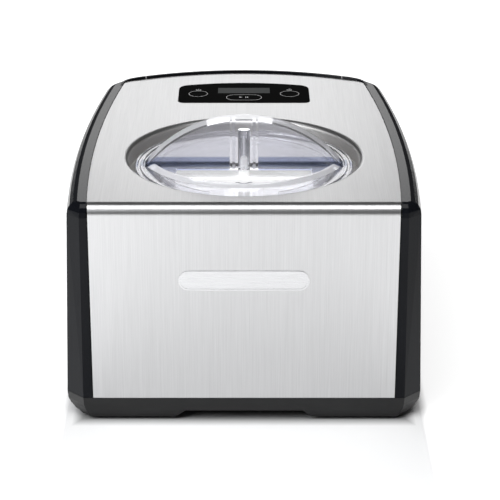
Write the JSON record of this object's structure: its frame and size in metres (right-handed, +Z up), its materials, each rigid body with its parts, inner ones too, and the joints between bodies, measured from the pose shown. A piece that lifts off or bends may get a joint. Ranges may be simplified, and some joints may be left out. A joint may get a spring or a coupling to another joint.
{
  "type": "ice cream maker",
  "caption": "Counter-top ice cream maker with a built-in freezer: steel front and top, black side mouldings, clear lid over a lift-out bowl, button panel at the back.",
  "frame": {"origin": "on the floor, in the middle of the outer box", "axes": "+X right seen from the front, +Y from the front panel to the back, +Z up"},
  "size_m": [0.3182, 0.4006, 0.2372],
  "materials": {
    "brushed_steel": "fine vertical brushing, satin",
    "badge_steel": "satin, pressed",
    "side_plastic": "satin black moulded plastic",
    "base_plastic": "black moulded plastic",
    "rubber_black": "matte",
    "panel_black": "high gloss",
    "display_grey": "smoked, gloss",
    "clear_plastic": "clear moulded plastic with a faint violet tint",
    "paddle_white": "satin white",
    "bowl_aluminium": "turned and anodised",
    "bail_steel": "polished wire",
    "chamber_aluminium": "drawn",
    "collar_plastic": "satin dark grey",
    "foam": "rigid foam",
    "copper": "copper tube",
    "bronze": "sintered bronze",
    "seal_rubber": "silicone",
    "gear_plastic": "acetal",
    "zinc_steel": "zinc plated",
    "cast_grey": "die cast",
    "motor_winding": "lacquered rotor",
    "compressor_black": "black enamel",
    "fin_aluminium": "thin fins",
    "fan_plastic": "moulded",
    "board_green": "solder mask",
    "part_blue": "component cases",
    "nylon_white": "nylon"
  },
  "bodies": {
    "root": {"steel_wrap": "brushed_steel", "front_badge": "badge_steel", "left_side_cover": "side_plastic", "right_side_cover": "side_plastic", "rear_cover": "side_plastic", "base_tray": "base_plastic", "feet": "rubber_black", "control_panel": "panel_black", "lcd_window": "display_grey", "lcd_module": "display_grey", "control_board": "board_green", "panel_screws": "zinc_steel", "chamber_collar": "collar_plastic", "chamber_gasket": "rubber_black", "freezing_chamber": "chamber_aluminium", "evaporator_coil": "copper", "insulation_shell": "foam", "chamber_bush": "bronze", "shaft_seal": "seal_rubber", "gearbox_housing": "cast_grey", "gearbox_cover": "cast_grey", "gearbox_bearings": "bronze", "gearbox_screws": "zinc_steel", "motor_can": "zinc_steel", "compressor": "compressor_black", "compressor_terminal_cover": "base_plastic", "compressor_grommets": "rubber_black", "compressor_bolts": "zinc_steel", "condenser_fins": "fin_aluminium", "condenser_tube": "copper", "fan_shroud": "fan_plastic", "fan_motor": "zinc_steel", "fan_bracket": "zinc_steel", "filter_drier": "copper", "suction_pipe": "copper", "discharge_pipe": "copper", "liquid_pipe": "copper", "capillary_tube": "copper", "power_board": "board_green", "board_parts": "part_blue", "board_posts": "nylon_white", "cord_gland": "rubber_black", "base_screws": "zinc_steel"},
    "bowl": {"mixing_bowl": "bowl_aluminium", "bowl_tube": "bowl_aluminium", "bail_pins": "bail_steel"},
    "bail": {"bowl_bail": "bail_steel"},
    "paddle": {"paddle": "paddle_white"},
    "lid": {"lid": "clear_plastic"},
    "drive": {"drive_shaft": "zinc_steel", "drive_gear": "gear_plastic"},
    "motor": {"motor_rotor": "motor_winding", "motor_shaft": "zinc_steel", "motor_pinion": "gear_plastic"},
    "fan": {"fan_blade": "fan_plastic"},
    "power_button": {"power_button": "panel_black"},
    "timer_button": {"timer_button": "panel_black"},
    "start_stop_button": {"start_stop_button": "panel_black"}
  },
  "joints": [
    {"name": "bowl_lift", "type": "slide", "parent": "root", "child": "bowl", "axis": [0, 0, 1], "range_m": [0, 0.18]},
    {"name": "lid_lift", "type": "slide", "parent": "bowl", "child": "lid", "axis": [0, 0, 1], "range_m": [0, 0.15]},
    {"name": "bail_swing", "type": "hinge", "parent": "bowl", "child": "bail", "pos_m": [0, -0.0692, 0.1879], "axis": [1, 0, 0], "range_deg": [0, 90]},
    {"name": "drive_spin", "type": "hinge", "parent": "root", "child": "drive", "pos_m": [0, -0.0692, 0.05], "axis": [0, 0, 1], "continuous": true},
    {"name": "paddle_spin", "type": "hinge", "parent": "bowl", "child": "paddle", "pos_m": [0, -0.0692, 0.13], "axis": [0, 0, 1], "continuous": true},
    {"name": "motor_spin", "type": "hinge", "parent": "root", "child": "motor", "pos_m": [0.0451, -0.0692, 0.05], "axis": [0, 0, 1], "continuous": true},
    {"name": "fan_spin", "type": "hinge", "parent": "root", "child": "fan", "pos_m": [0.055, 0.126, 0.082], "axis": [0, 1, 0], "continuous": true},
    {"name": "power_press", "type": "slide", "parent": "root", "child": "power_button", "axis": [0, 0, -1], "range_m": [0, 0.0008], "stiffness_N_per_m": 600, "springref_m": -0.0012},
    {"name": "timer_press", "type": "slide", "parent": "root", "child": "timer_button", "axis": [0, 0, -1], "range_m": [0, 0.0008], "stiffness_N_per_m": 600, "springref_m": -0.0012},
    {"name": "start_press", "type": "slide", "parent": "root", "child": "start_stop_button", "axis": [0, 0, -1], "range_m": [0, 0.0008], "stiffness_N_per_m": 600, "springref_m": -0.0012}
  ],
  "couplings": [
    {"joint": "paddle_spin", "follows": "drive_spin", "ratio": 1},
    {"joint": "motor_spin", "follows": "drive_spin", "ratio": -4},
    {"joint": "bail_swing", "follows": "lid_lift", "rad_per_m": 10.47}
  ]
}
